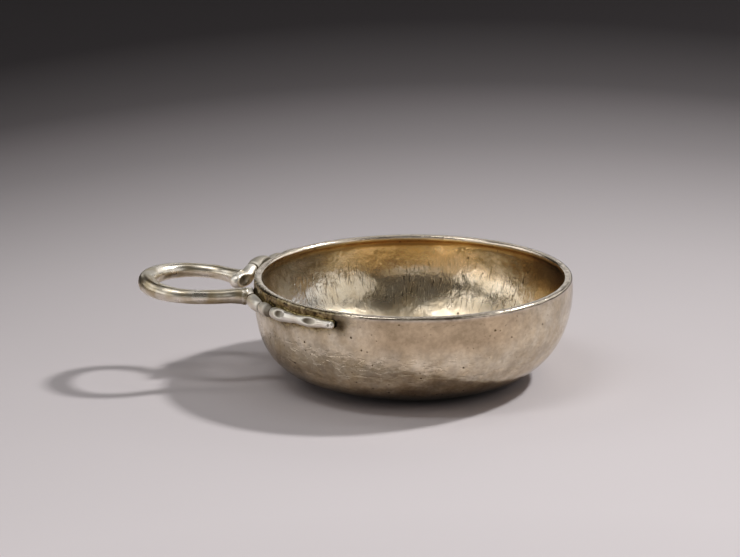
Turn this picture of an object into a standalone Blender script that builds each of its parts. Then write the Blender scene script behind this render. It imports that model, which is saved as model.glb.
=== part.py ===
"""Silver wine taster: a raised bowl with a ring handle soldered to its wall.

Metres, +Z up. The origin is the middle of the flat base, the handle lies towards -X,
and the near side of the handle is -Y.
"""

import math

import bmesh
import bpy
from mathutils import Matrix, Vector

MM = 0.001

# Bowl
RIM_RADIUS = 40.0 * MM
BELLY_SWELL = 0.46 * MM
FOOT_RADIUS = 19.6 * MM
BELLY_HEIGHT = 23.2 * MM
RIM_RISE = 2.2 * MM
WALL_FULLNESS = 2.11
WALL_THICKNESS = 1.2 * MM
LIP_THICKNESS = 2.1 * MM
LIP_TAPER = 12.4 * MM
BOWL_STEPS = 72
CURVE_POINTS = 13
LIP_POINTS = 7

# Ring handle
HOOP_REACH = 16.45 * MM
HOOP_HALF_LENGTH = 11.25 * MM
HOOP_HALF_WIDTH = 11.65 * MM
HOOP_ROD_RADIUS = 1.8 * MM
HOOP_END_RADIUS = 2.35 * MM
HOOP_TILT = math.radians(3.2)
HOOP_ARM_PULL = 7.0 * MM
HOOP_END_PULL = 5.0 * MM
HOOP_SWELL_EASE = 1.5
HOOP_TURN_POINTS = 13
HOOP_ARM_POINTS = 10

# Tails, measured along their centre line from its start in the crotch of the ring
ROOT_REACH = 5.4 * MM
ROOT_OFFSET = 3.2 * MM
ROOT_DROP = 3.15 * MM
TAIL_START_ANGLE = math.radians(14.0)
TAIL_TIP_STANDOFF = 0.65 * MM
STANDOFF_EASE = 4
ROOT_BEND = 0.75
TAIL_POINTS = 76
PATH_STEPS = 60
FIRST_KNUCKLE = 12.4 * MM
TAIL_LENGTH = 44.2 * MM
TIP_ROUNDING = 0.8 * MM
# Distance from the tail's own blunt root end and the radius there
ROOT_STATIONS = (
    (0.0, 0.90 * MM),
    (0.9 * MM, 1.60 * MM),
    (2.6 * MM, 1.95 * MM),
)
# Distance along the centre line and the radius there, either side of the first knuckle
ROOT_GROOVE = (8.6 * MM, 1.50 * MM)
TAIL_STATIONS = (
    (16.8 * MM, 1.25 * MM),
    (18.8 * MM, 1.65 * MM),
    (21.2 * MM, 1.58 * MM),
    (22.6 * MM, 1.08 * MM),
    (26.2 * MM, 1.62 * MM),
    (32.4 * MM, 1.04 * MM),
    (37.0 * MM, 1.34 * MM),
    (40.8 * MM, 0.98 * MM),
    (TAIL_LENGTH - TIP_ROUNDING, 0.94 * MM),
    (TAIL_LENGTH, 0.50 * MM),
)
SCOOP_STATIONS = (27.2 * MM, 37.4 * MM)
SCOOP_HALF_LENGTH = 1.9 * MM
SCOOP_HALF_HEIGHT = 0.75 * MM
SCOOP_DEPTH = 0.45 * MM
SCOOP_LIFT = math.radians(35.0)
# The hollow in the root end that faces across the crotch
ROOT_SCOOP_STATION = 1.3 * MM
ROOT_SCOOP_HALF_LENGTH = 2.2 * MM
ROOT_SCOOP_HALF_HEIGHT = 1.25 * MM
ROOT_SCOOP_DEPTH = 0.7 * MM
ROOT_SCOOP_LIFT = math.radians(8.0)
DIMPLE_INSET = 1.3 * MM
DIMPLE_RADIUS = 0.5 * MM
DIMPLE_DEPTH = 0.3 * MM

# Hard solder and the clearance kept on each side of it
SOLDER_THICKNESS = 0.3 * MM
SOLDER_MARGIN = 0.2 * MM
SEAM_CLEARANCE = 0.15 * MM
SEAT_DEPTH = 0.9 * MM
SEAT_MARGIN = 0.4 * MM

# Each side of the handle: side of Y, where the tail's root ends and whether it is hollowed, the hoop's joint
# on the tail, arm splay, first knuckle and drops below the rim
SIDES = {
    "near": {
        "side": -1.0,
        "root_end": 4.2 * MM,
        "root_scoop": False,
        "joint_station": 6.8 * MM,
        "arm_splay": math.radians(6.0),
        "standoff": 1.0 * MM,
        "knuckle_radius": 1.9 * MM,
        "knuckle_drop": 4.2 * MM,
        "tip_drop": 2.9 * MM,
    },
    "far": {
        "side": 1.0,
        "root_end": -1.5 * MM,
        "root_scoop": True,
        "joint_station": 3.6 * MM,
        "arm_splay": math.radians(30.0),
        "standoff": 2.7 * MM,
        "knuckle_radius": 2.5 * MM,
        "knuckle_drop": 1.9 * MM,
        "tip_drop": 2.1 * MM,
    },
}

# Values worked out from the sizes above
BELLY_RADIUS = RIM_RADIUS + BELLY_SWELL
LIP_EDGE_HEIGHT = BELLY_HEIGHT + RIM_RISE
BOWL_HEIGHT = LIP_EDGE_HEIGHT + LIP_THICKNESS / 2
HOOP_CENTRE = RIM_RADIUS + HOOP_REACH
DIMPLE_STATION = TAIL_LENGTH - DIMPLE_INSET
BED_TOP = SEAM_CLEARANCE + SOLDER_THICKNESS
TAIL_BACK = BED_TOP + SEAM_CLEARANCE
CUTTER_TOP = 2 * BOWL_HEIGHT
MERGE = 1e-5


def clear_scene():
    for old in list(bpy.data.objects):
        bpy.data.objects.remove(old, do_unlink=True)


def new_collection(name):
    collection = bpy.data.collections.new(name)
    bpy.context.scene.collection.children.link(collection)
    return collection


def silver(name, colour, roughness):
    material = bpy.data.materials.new(name)
    material.use_nodes = True
    shader = material.node_tree.nodes["Principled BSDF"]
    shader.inputs["Base Color"].default_value = (*colour, 1.0)
    shader.inputs["Metallic"].default_value = 1.0
    shader.inputs["Roughness"].default_value = roughness
    return material


def add_object(name, mesh, collection):
    thing = bpy.data.objects.new(name, mesh)
    collection.objects.link(thing)
    return thing


def make_guide(thing):
    thing.hide_render = True
    thing.display_type = "WIRE"
    return thing


def finish(thing, material):
    thing.data.materials.clear()
    thing.data.materials.append(material)
    thing.data.shade_smooth()
    return thing


def revolve(name, profile, collection, closed=False):
    """Turn a profile of (radius, height) points round Z with a Screw modifier."""
    mesh = bpy.data.meshes.new(name)
    count = len(profile)
    edges = [(i, i + 1) for i in range(count - 1)]
    if closed:
        edges.append((count - 1, 0))
    mesh.from_pydata([(radius, 0.0, height) for radius, height in profile], edges, [])
    thing = add_object(name, mesh, collection)
    screw = thing.modifiers.new("turn", "SCREW")
    screw.axis = "Z"
    screw.angle = math.tau
    screw.steps = BOWL_STEPS
    screw.render_steps = BOWL_STEPS
    screw.use_merge_vertices = True
    screw.merge_threshold = MERGE
    return thing


def tube(name, points, radii, collection, resolution=4):
    """Sweep a round section of changing radius along points, as a closed mesh."""
    curve = bpy.data.curves.new(name, "CURVE")
    curve.dimensions = "3D"
    curve.bevel_depth = 1.0
    curve.bevel_resolution = resolution
    curve.use_fill_caps = True
    spline = curve.splines.new("POLY")
    spline.points.add(len(points) - 1)
    for point, place, radius in zip(spline.points, points, radii):
        point.co = (*place, 1.0)
        point.radius = radius
    guide = add_object(name + "_path", curve, collection)
    bpy.context.view_layer.update()
    swept = guide.evaluated_get(bpy.context.evaluated_depsgraph_get())
    mesh = bpy.data.meshes.new_from_object(swept)
    mesh.name = name
    bpy.data.objects.remove(guide, do_unlink=True)
    body = bmesh.new()
    body.from_mesh(mesh)
    bmesh.ops.remove_doubles(body, verts=body.verts, dist=MERGE)
    bmesh.ops.recalc_face_normals(body, faces=body.faces)
    body.to_mesh(mesh)
    body.free()
    return add_object(name, mesh, collection)


def ellipsoid(name, half_sizes, place, frame, collection):
    """A stretched ball whose axes follow the columns of a 3x3 frame."""
    mesh = bpy.data.meshes.new(name)
    body = bmesh.new()
    bmesh.ops.create_uvsphere(body, u_segments=16, v_segments=10, radius=1.0)
    stretch = Matrix.Diagonal((*half_sizes, 1.0))
    bmesh.ops.transform(body, matrix=Matrix.Translation(place) @ frame.to_4x4() @ stretch, verts=body.verts)
    body.to_mesh(mesh)
    body.free()
    return add_object(name, mesh, collection)


def rod(name, radius, start, end, collection, sides=24):
    """A plain round bar between two points, capped at both ends."""
    axis = end - start
    mesh = bpy.data.meshes.new(name)
    body = bmesh.new()
    bmesh.ops.create_cone(
        body, cap_ends=True, segments=sides, radius1=radius, radius2=radius, depth=axis.length)
    turn = axis.to_track_quat("Z", "Y").to_matrix().to_4x4()
    bmesh.ops.transform(body, matrix=Matrix.Translation((start + end) / 2) @ turn, verts=body.verts)
    body.to_mesh(mesh)
    body.free()
    return add_object(name, mesh, collection)


def boolean(thing, tool, operation):
    step = thing.modifiers.new(tool.name, "BOOLEAN")
    step.object = tool
    step.operation = operation
    step.solver = "EXACT"


def wall_radius(height):
    """Outer radius of the bowl at a height above the table."""
    if height >= LIP_EDGE_HEIGHT:
        return RIM_RADIUS
    if height >= BELLY_HEIGHT:
        rise = (height - BELLY_HEIGHT) / (LIP_EDGE_HEIGHT - BELLY_HEIGHT)
        return BELLY_RADIUS - (BELLY_RADIUS - RIM_RADIUS) * rise ** 2
    cosine = (1 - height / BELLY_HEIGHT) ** (WALL_FULLNESS / 2)
    sine = math.sqrt(1 - cosine ** 2)
    return FOOT_RADIUS + (BELLY_RADIUS - FOOT_RADIUS) * sine ** (2 / WALL_FULLNESS)


def outer_wall():
    """Outer outline from the foot up to the edge of the rounded lip."""
    outline = []
    for i in range(CURVE_POINTS):
        angle = math.pi / 2 * i / (CURVE_POINTS - 1)
        height = BELLY_HEIGHT * (1 - max(math.cos(angle), 0.0) ** (2 / WALL_FULLNESS))
        outline.append(Vector((wall_radius(height), height)))
    middle = (BELLY_HEIGHT + LIP_EDGE_HEIGHT) / 2
    outline.append(Vector((wall_radius(middle), middle)))
    outline.append(Vector((RIM_RADIUS, LIP_EDGE_HEIGHT)))
    return outline


def wall_normals(outline):
    """Outward directions of an outline that runs from the flat foot to the upright lip edge."""
    normals = []
    for before, after in zip(outline, outline[2:]):
        along = (after - before).normalized()
        normals.append(Vector((along.y, -along.x)))
    return [Vector((0.0, -1.0)), *normals, Vector((1.0, 0.0))]


def inner_wall(outline):
    """The outer outline moved inwards by a wall that thickens towards the lip."""
    inside = []
    for point, normal in zip(outline, wall_normals(outline)):
        rise = max(1 - (LIP_EDGE_HEIGHT - point.y) / LIP_TAPER, 0.0)
        thickness = WALL_THICKNESS + (LIP_THICKNESS - WALL_THICKNESS) * rise ** 2
        inside.append(point - normal * thickness)
    return inside


def grown_wall(distance):
    """The outer outline from the lip edge down to the foot, moved out by a distance."""
    outline = outer_wall()
    grown = [point + normal * distance for point, normal in zip(outline, wall_normals(outline))]
    return grown[::-1]


def make_bowl(parts):
    outside = outer_wall()
    profile = [Vector((0.0, WALL_THICKNESS))]
    profile += inner_wall(outside)
    lip_radius = LIP_THICKNESS / 2
    for i in range(1, LIP_POINTS - 1):
        angle = math.pi * (1 - i / (LIP_POINTS - 1))
        across = RIM_RADIUS - lip_radius + lip_radius * math.cos(angle)
        profile.append(Vector((across, LIP_EDGE_HEIGHT + lip_radius * math.sin(angle))))
    profile += outside[::-1]
    profile.append(Vector((0.0, 0.0)))
    return revolve("bowl", profile, parts)


def make_wall_cutter(guides):
    """The bowl's outside, grown by the solder bed, that shapes the backs of the tails."""
    profile = [(0.0, CUTTER_TOP), (RIM_RADIUS + TAIL_BACK, CUTTER_TOP)]
    profile += grown_wall(TAIL_BACK)
    profile.append((0.0, -TAIL_BACK))
    return make_guide(revolve("wall_cutter", profile, guides))


def make_bed_shell(guides):
    """A thin skin over the wall, below the lip, that the solder beds are cut from."""
    profile = grown_wall(BED_TOP)
    profile += grown_wall(SEAM_CLEARANCE)[::-1]
    return make_guide(revolve("bed_shell", profile, guides, closed=True))


def smooth(value):
    value = min(max(value, 0.0), 1.0)
    return value * value * (3 - 2 * value)


class TailPath:
    """Centre line and radius of one tail, measured along its plan length from the crotch."""

    def __init__(self, side):
        self.side = side
        root = [(side["root_end"] + distance, radius) for distance, radius in ROOT_STATIONS]
        self.stations = (*root, ROOT_GROOVE, (FIRST_KNUCKLE, side["knuckle_radius"]), *TAIL_STATIONS)
        self.plan = []
        self.heights = []
        self.lengths = []
        self.bend_from_crotch()
        self.follow_wall()

    def add(self, place, drop):
        step = (place - self.plan[-1]).length if self.plan else 0.0
        self.lengths.append(self.lengths[-1] + step if self.lengths else 0.0)
        self.plan.append(place)
        self.heights.append(BOWL_HEIGHT - drop)

    def wall_place(self, angle, drop, standoff):
        reach = wall_radius(BOWL_HEIGHT - drop) + standoff
        return Vector((math.cos(angle), math.sin(angle))) * reach

    def bend_from_crotch(self):
        """From a round end between the arms to the place where the tail lands on the wall."""
        drop = self.side["knuckle_drop"]
        start = Vector((RIM_RADIUS + ROOT_REACH, ROOT_OFFSET))
        landing = self.wall_place(TAIL_START_ANGLE, drop, self.side["standoff"])
        tangent = Vector((-math.sin(TAIL_START_ANGLE), math.cos(TAIL_START_ANGLE)))
        corner = landing - tangent * (landing.y - start.y) * ROOT_BEND
        for i in range(PATH_STEPS):
            u = i / PATH_STEPS
            place = start * (1 - u) ** 2 + corner * 2 * u * (1 - u) + landing * u ** 2
            self.add(place, ROOT_DROP + (drop - ROOT_DROP) * smooth(2 * u - 1))

    def follow_wall(self):
        """Along the wall up to the tip, while the tail sinks closer to the wall."""
        angle = TAIL_START_ANGLE
        root_length = self.lengths[-1]
        step = (TAIL_LENGTH - root_length) / PATH_STEPS
        while self.lengths[-1] < TAIL_LENGTH:
            u = min((self.lengths[-1] - root_length) / (TAIL_LENGTH - root_length), 1.0)
            drop = self.side["knuckle_drop"] + (self.side["tip_drop"] - self.side["knuckle_drop"]) * u
            sink = (self.side["standoff"] - TAIL_TIP_STANDOFF) * (1 - u) ** STANDOFF_EASE
            self.add(self.wall_place(angle, drop, TAIL_TIP_STANDOFF + sink), drop)
            angle += step / self.plan[-1].length

    def radius(self, distance):
        for (start, radius), (end, next_radius) in zip(self.stations, self.stations[1:]):
            if distance <= end:
                return radius + (next_radius - radius) * smooth((distance - start) / (end - start))
        return self.stations[-1][1]

    def point(self, distance):
        index = 0
        while index < len(self.lengths) - 2 and self.lengths[index + 1] < distance:
            index += 1
        share = (distance - self.lengths[index]) / (self.lengths[index + 1] - self.lengths[index])
        spot = self.plan[index].lerp(self.plan[index + 1], share)
        height = self.heights[index] + (self.heights[index + 1] - self.heights[index]) * share
        return Vector((-spot.x, spot.y * self.side["side"], height))

    def frame(self, distance):
        """Directions along the tail, out from the wall and up."""
        step = TAIL_LENGTH / TAIL_POINTS
        along = (self.point(distance + step) - self.point(distance - step)).normalized()
        up = Vector((0.0, 0.0, 1.0))
        out = along.cross(up).normalized() * -self.side["side"]
        return along, out, (up - along * up.dot(along)).normalized()

    def sweep(self, name, margin, parts):
        """A round bar of the tail's changing radius, grown by a margin."""
        root = self.side["root_end"]
        distances = [root + (TAIL_LENGTH - root) * i / (TAIL_POINTS - 1) for i in range(TAIL_POINTS)]
        points = [self.point(d) for d in distances]
        return tube(name, points, [self.radius(d) + margin for d in distances], parts)


def make_tail(name, path, wall_cutter, parts, guides):
    tail = path.sweep(name, 0.0, parts)
    boolean(tail, wall_cutter, "DIFFERENCE")
    for number, station in enumerate(SCOOP_STATIONS, 1):
        boolean(tail, make_scoop(f"{name}_scoop_{number}", path, station, guides), "DIFFERENCE")
    if path.side["root_scoop"]:
        boolean(tail, make_root_scoop(name + "_root_scoop", path, guides), "DIFFERENCE")
    boolean(tail, make_dimple(name + "_dimple", path, guides), "DIFFERENCE")
    boolean(tail, make_seat_cutter(name + "_seat", path, guides), "DIFFERENCE")
    return tail


def make_scoop(name, path, station, guides):
    along, out, up = path.frame(station)
    facing = out * math.cos(SCOOP_LIFT) + up * math.sin(SCOOP_LIFT)
    across = facing.cross(along).normalized()
    frame = Matrix((along, across, facing)).transposed()
    place = path.point(station) + facing * path.radius(station)
    sizes = (SCOOP_HALF_LENGTH, SCOOP_HALF_HEIGHT, SCOOP_DEPTH)
    return make_guide(ellipsoid(name, sizes, place, frame, guides))


def make_root_scoop(name, path, guides):
    along, out, up = path.frame(ROOT_SCOOP_STATION)
    facing = up * math.sin(ROOT_SCOOP_LIFT) - out * math.cos(ROOT_SCOOP_LIFT)
    frame = Matrix((along, facing.cross(along), facing)).transposed()
    place = path.point(ROOT_SCOOP_STATION) + facing * path.radius(ROOT_SCOOP_STATION)
    sizes = (ROOT_SCOOP_HALF_LENGTH, ROOT_SCOOP_HALF_HEIGHT, ROOT_SCOOP_DEPTH)
    return make_guide(ellipsoid(name, sizes, place, frame, guides))


def make_dimple(name, path, guides):
    along, out, up = path.frame(DIMPLE_STATION)
    frame = Matrix((along, out.cross(along), out)).transposed()
    surface = path.point(DIMPLE_STATION) + out * path.radius(DIMPLE_STATION)
    sizes = (DIMPLE_RADIUS, DIMPLE_RADIUS, DIMPLE_DEPTH)
    return make_guide(ellipsoid(name, sizes, surface, frame, guides))


def make_bed(name, path, bed_shell, parts):
    """Solder bed between a tail and the wall, a little wider than the tail."""
    bed = path.sweep(name, SOLDER_MARGIN, parts)
    boolean(bed, bed_shell, "INTERSECT")
    return bed


def joint_axis(side):
    """Direction from a tail's seat outwards along the end of the hoop's arm."""
    splay = side["arm_splay"]
    return Vector((-math.cos(splay), math.sin(splay) * side["side"], math.tan(HOOP_TILT))).normalized()


def make_hoop_solder(name, path, parts):
    axis = joint_axis(path.side)
    seat = path.point(path.side["joint_station"]) + axis * SEAT_DEPTH
    start = seat + axis * SEAM_CLEARANCE
    return rod(name, HOOP_ROD_RADIUS + SOLDER_MARGIN / 2, start, start + axis * SOLDER_THICKNESS, parts)


def make_seat_cutter(name, path, guides):
    """Files a flat on the tail for the end of the hoop and keeps the arm clear of it."""
    axis = joint_axis(path.side)
    seat = path.point(path.side["joint_station"]) + axis * SEAT_DEPTH
    reach = axis * HOOP_HALF_LENGTH
    return make_guide(rod(name, HOOP_ROD_RADIUS + SEAT_MARGIN, seat, seat + reach, guides))


def hoop_end(path):
    axis = joint_axis(path.side)
    return path.point(path.side["joint_station"]) + axis * (SEAT_DEPTH + TAIL_BACK)


def arm_points(path):
    """Bezier arm from the widest place of the ring to its end on the tail."""
    end = hoop_end(path)
    lateral = path.side["side"]
    start = Vector((-HOOP_CENTRE, HOOP_HALF_WIDTH * lateral, 0.0))
    start.z = end.z + (HOOP_CENTRE + end.x) * math.tan(HOOP_TILT)
    slope = Vector((1.0, 0.0, -math.tan(HOOP_TILT)))
    first = start + slope * HOOP_ARM_PULL
    second = end + joint_axis(path.side) * HOOP_END_PULL
    points = []
    for i in range(HOOP_ARM_POINTS + 1):
        u = i / HOOP_ARM_POINTS
        points.append(
            start * (1 - u) ** 3
            + first * 3 * u * (1 - u) ** 2
            + second * 3 * u ** 2 * (1 - u)
            + end * u ** 3)
    return points


def make_hoop(near, far, parts):
    near_arm = arm_points(near)
    far_arm = arm_points(far)
    points = near_arm[::-1]
    radii = [HOOP_ROD_RADIUS] * len(near_arm)
    for i in range(1, HOOP_TURN_POINTS):
        turn = i / HOOP_TURN_POINTS
        angle = math.pi * turn
        rise = HOOP_HALF_LENGTH * math.sin(angle) * math.tan(HOOP_TILT)
        base = near_arm[0].z + (far_arm[0].z - near_arm[0].z) * turn
        points.append(Vector((
            -HOOP_CENTRE - HOOP_HALF_LENGTH * math.sin(angle),
            -HOOP_HALF_WIDTH * math.cos(angle),
            base + rise)))
        swell = math.sin(angle) ** HOOP_SWELL_EASE
        radii.append(HOOP_ROD_RADIUS + (HOOP_END_RADIUS - HOOP_ROD_RADIUS) * swell)
    points += far_arm
    radii += [HOOP_ROD_RADIUS] * len(far_arm)
    return tube("ring_handle", points, radii, parts, resolution=6)


def main():
    clear_scene()
    parts = new_collection("silver_wine_taster")
    guides = new_collection("cutters")
    raised = silver("raised silver", (0.66, 0.60, 0.50), 0.28)
    cast = silver("cast silver", (0.80, 0.77, 0.70), 0.22)
    solder = silver("hard solder", (0.30, 0.28, 0.20), 0.45)
    finish(make_bowl(parts), raised)
    wall_cutter = make_wall_cutter(guides)
    bed_shell = make_bed_shell(guides)
    paths = {name: TailPath(side) for name, side in SIDES.items()}
    for name, path in paths.items():
        finish(make_tail(name + "_tail", path, wall_cutter, parts, guides), cast)
        finish(make_bed(name + "_tail_solder", path, bed_shell, parts), solder)
        finish(make_hoop_solder(name + "_hoop_solder", path, parts), solder)
    finish(make_hoop(paths["near"], paths["far"], parts), cast)


main()
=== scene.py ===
import math
from functools import partial

import bmesh
import bpy
from mathutils import Matrix, Vector, kdtree, noise


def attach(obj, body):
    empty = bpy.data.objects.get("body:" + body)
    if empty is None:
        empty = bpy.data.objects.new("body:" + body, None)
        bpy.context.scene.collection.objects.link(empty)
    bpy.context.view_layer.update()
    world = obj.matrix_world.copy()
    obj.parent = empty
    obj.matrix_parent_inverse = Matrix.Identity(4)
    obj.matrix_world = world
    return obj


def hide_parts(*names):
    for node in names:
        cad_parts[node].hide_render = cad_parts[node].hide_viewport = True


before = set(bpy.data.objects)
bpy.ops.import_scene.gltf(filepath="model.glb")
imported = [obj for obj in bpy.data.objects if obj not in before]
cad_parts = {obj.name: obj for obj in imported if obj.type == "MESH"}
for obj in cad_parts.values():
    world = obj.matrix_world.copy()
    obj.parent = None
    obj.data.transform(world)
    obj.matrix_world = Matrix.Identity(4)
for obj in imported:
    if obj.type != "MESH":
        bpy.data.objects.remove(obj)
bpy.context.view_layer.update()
mm = 0.001
print("frame loaded:", ", ".join(sorted(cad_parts)))


# Helpers for node trees, materials and pieces

def linear(hexColour):
    channels = [int(hexColour[i:i + 2], 16) / 255 for i in (1, 3, 5)]
    return (*[c / 12.92 if c <= 0.04045 else ((c + 0.055) / 1.055) ** 2.4 for c in channels], 1.0)


def feed(node, inputs):
    # links what comes from another node and sets the rest
    for key, value in inputs.items():
        if isinstance(value, bpy.types.NodeSocket):
            node.id_data.links.new(value, node.inputs[key])
        else:
            node.inputs[key].default_value = value


def addNode(tree, kind, inputs=None, output=0, **settings):
    # gives the output that is asked for, and .node of it is the node itself
    node = tree.nodes.new(kind if "Node" in kind else "ShaderNode" + kind)
    for name, value in settings.items():
        setattr(node, name, value)
    feed(node, inputs or {})
    return node.outputs[output] if node.outputs else None


def newMaterial(name):
    material = bpy.data.materials.new(name)
    material.use_nodes = True
    tree = material.node_tree
    return material, partial(addNode, tree), tree.nodes["Principled BSDF"]


def newTree(name, inputs):
    tree = bpy.data.node_groups.new(name, "GeometryNodeTree")
    tree.interface.new_socket("Geometry", in_out="INPUT", socket_type="NodeSocketGeometry")
    for label, kind in inputs.items():
        tree.interface.new_socket(label, in_out="INPUT", socket_type="NodeSocket" + kind)
    tree.interface.new_socket("Geometry", in_out="OUTPUT", socket_type="NodeSocketGeometry")
    add = partial(addNode, tree)
    return tree, add, add("NodeGroupInput").node.outputs


def endTree(add, shape, push, finish):
    # moves the surface out along its normals, makes it real and gives it its finish
    normal = add("GeometryNodeInputNormal")
    offset = add("VectorMath", {0: normal, "Scale": push}, operation="SCALE")
    moved = add("GeometryNodeSetPosition", {"Geometry": shape, "Offset": offset})
    real = add("GeometryNodeRealizeInstances", {0: moved})
    finished = add("GeometryNodeSetMaterial", {"Geometry": real, "Material": finish})
    add("NodeGroupOutput", {0: finished})


def runTree(obj, tree, values):
    modifier = obj.modifiers.new(tree.name, "NODES")
    modifier.node_group = tree
    for item in tree.interface.items_tree:
        if item.in_out == "INPUT" and item.name in values:
            modifier[item.identifier] = values[item.name]
    bpy.context.view_layer.update()
    mesh = bpy.data.meshes.new_from_object(obj.evaluated_get(bpy.context.evaluated_depsgraph_get()))
    obj.modifiers.remove(modifier)
    obj.data = mesh
    return obj


def addObject(name, data):
    obj = bpy.data.objects.new(name, data)
    bpy.context.scene.collection.objects.link(obj)
    return obj


def tubeObject(name, rings, finish):
    # a tube through rings of points, with a cap on each end
    body = bmesh.new()
    loops = [[body.verts.new(spot) for spot in spots] for spots in rings]
    for a, b in zip(loops, loops[1:]):
        for j in range(len(a)):
            k = (j + 1) % len(a)
            body.faces.new((a[j], a[k], b[k], b[j]))
    body.faces.new(loops[0])
    body.faces.new(loops[-1])
    mesh = bpy.data.meshes.new(name)
    body.to_mesh(mesh)
    body.free()
    mesh.materials.append(finish)
    return addObject(name, mesh)


def finishPiece(obj, node):
    body = bmesh.new()
    body.from_mesh(obj.data)
    bmesh.ops.recalc_face_normals(body, faces=body.faces)
    body.to_mesh(obj.data)
    body.free()
    obj.data.shade_smooth()
    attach(obj, "root")
    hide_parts(node)
    print(f"{obj.name}: {sum(len(p.vertices) - 2 for p in obj.data.polygons)} triangles")


def setAttribute(mesh, name, values):
    attribute = mesh.attributes.new(name, "FLOAT", "POINT")
    attribute.data.foreach_set("value", values)


def smooth(value):
    value = min(max(value, 0.0), 1.0)
    return value * value * (3 - 2 * value)


def fade(distance, width):
    return math.exp(-(distance / width) ** 2)


# Camera, floor and light

view = {
    "distance": 0.750,
    "elevation": 0.2774,       # radians above the table
    "azimuth": math.radians(0.84),
    "target": Vector((0, 0, 20 * mm)),
    "lens": 143.26,
    "sensor": 36,
    "shift": (-0.0585, 0.02673),
}

paper = {
    "size": 4.0,
    "pale": "#DBD3D4",
    "dark": "#1C1A1B",
    # distance behind the bowl and how much of the pale colour is left there
    "fade": ((-0.10, 1.0), (0.03, 0.82), (0.07, 0.755), (0.13, 0.64), (0.18, 0.52), (0.27, 0.30),
             (0.37, 0.122), (0.50, 0.05)),
    "bend": 2.9,               # painted shade: how much sooner it darkens to the sides, per metre, where the light falls off
    "middle": 0.02,
    "toothSize": 0.6 * mm,
    "toothDepth": 0.05 * mm,
    "roughness": 0.9,
    "gloss": 0.1,
}

# azimuth (0 at the camera, 90 to the right), elevation, distance, size and brightness of each lamp's face
lights = {
    "keyLamp": (113.5, 49, 0.80, (0.07, 0.07), 282.0),
    "topStrip": (-59, 67, 1.09, (0.45, 0.12), 10.7),
    "topPanel": (174, 80, 1.25, (1.25, 0.22), 1.6),
    "backCard": (180, 13, 1.5, (1.80, 0.22), 0.9),
    "backPanel": (168, 36, 1.5, (1.30, 0.45), 0.85),
    "rightBox": (64, 28, 1.2, (1.10, 0.50), 0.66),
    "rightCard": (76, 11, 1.3, (1.60, 0.30), 0.75),
    "sideCard": (125, 22, 1.4, (1.10, 0.55), 0.9),
    "leftBox": (-79, 20, 1.3, (2.10, 0.26), 1.12),
    "leftHigh": (-108, 38, 1.3, (0.75, 0.40), 1.3),
    "leftPatch": (-56, 43, 1.3, (0.50, 0.40), 1.25),
    "leftCard": (-70, 9, 1.3, (1.70, 0.22), 1.5),
    "frontCard": (0, 9, 1.3, (1.20, 0.30), 0.5),
    "frontFill": (0, 40, 1.4, (1.50, 1.00), 0.09),
}
roomGlow = 0.02
# tone curve of the photograph: light in, light out, with the deepest shadows pulled down
toneCurve = ((0.03, 0.014), (0.06, 0.040), (0.10, 0.082), (0.16, 0.150), (0.25, 0.245), (0.40, 0.40))


def towards(azimuth, elevation):
    flat = math.cos(elevation)
    return Vector((math.sin(azimuth) * flat, -math.cos(azimuth) * flat, math.sin(elevation)))


def makeCamera():
    data = bpy.data.cameras.new("camera")
    data.lens = view["lens"]
    data.sensor_width = view["sensor"]
    data.shift_x, data.shift_y = view["shift"]
    camera = addObject("camera", data)
    camera.location = view["target"] + towards(view["azimuth"], view["elevation"]) * view["distance"]
    camera.rotation_euler = (math.pi / 2 - view["elevation"], 0, view["azimuth"])
    bpy.context.scene.camera = camera


def makePaper():
    # Graduated studio paper: matt, pale under the bowl and darker behind it
    material, add, shader = newMaterial("graduated studio paper")
    place = add("TexCoord", output="Object")
    axes = add("SeparateXYZ", {0: place}).node.outputs
    aside = add("Math", {0: axes["X"], 1: paper["middle"]}, operation="SUBTRACT")
    square = add("Math", {0: aside, 1: aside}, operation="MULTIPLY")
    depth = add("Math", {0: square, 1: paper["bend"], 2: axes["Y"]}, operation="MULTIPLY_ADD")
    first, last = paper["fade"][0][0], paper["fade"][-1][0]
    along = add("MapRange", {"Value": depth, "From Min": first, "From Max": last})
    ramp = add("ValToRGB", {"Fac": along})
    pale, dark = linear(paper["pale"]), linear(paper["dark"])
    stops = ramp.node.color_ramp.elements
    while len(stops) < len(paper["fade"]):
        stops.new(0.5)
    for stop, (distance, share) in zip(stops, paper["fade"]):
        stop.position = (distance - first) / (last - first)
        stop.color = [d + (p - d) * share for p, d in zip(pale, dark)]
    tooth = add("TexNoise", {"Vector": place, "Scale": 1 / paper["toothSize"], "Detail": 3.0})
    bump = add("Bump", {"Height": tooth, "Strength": 0.1, "Distance": paper["toothDepth"]})
    feed(shader, {"Base Color": ramp, "Normal": bump, "Roughness": paper["roughness"],
                  "Specular IOR Level": paper["gloss"]})
    half = paper["size"] / 2
    mesh = bpy.data.meshes.new("floor")
    corners = [(-half, -half, 0), (half, -half, 0), (half, half, 0), (-half, half, 0)]
    mesh.from_pydata(corners, [], [(0, 1, 2, 3)])
    mesh.materials.append(material)
    addObject("floor", mesh)


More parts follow.
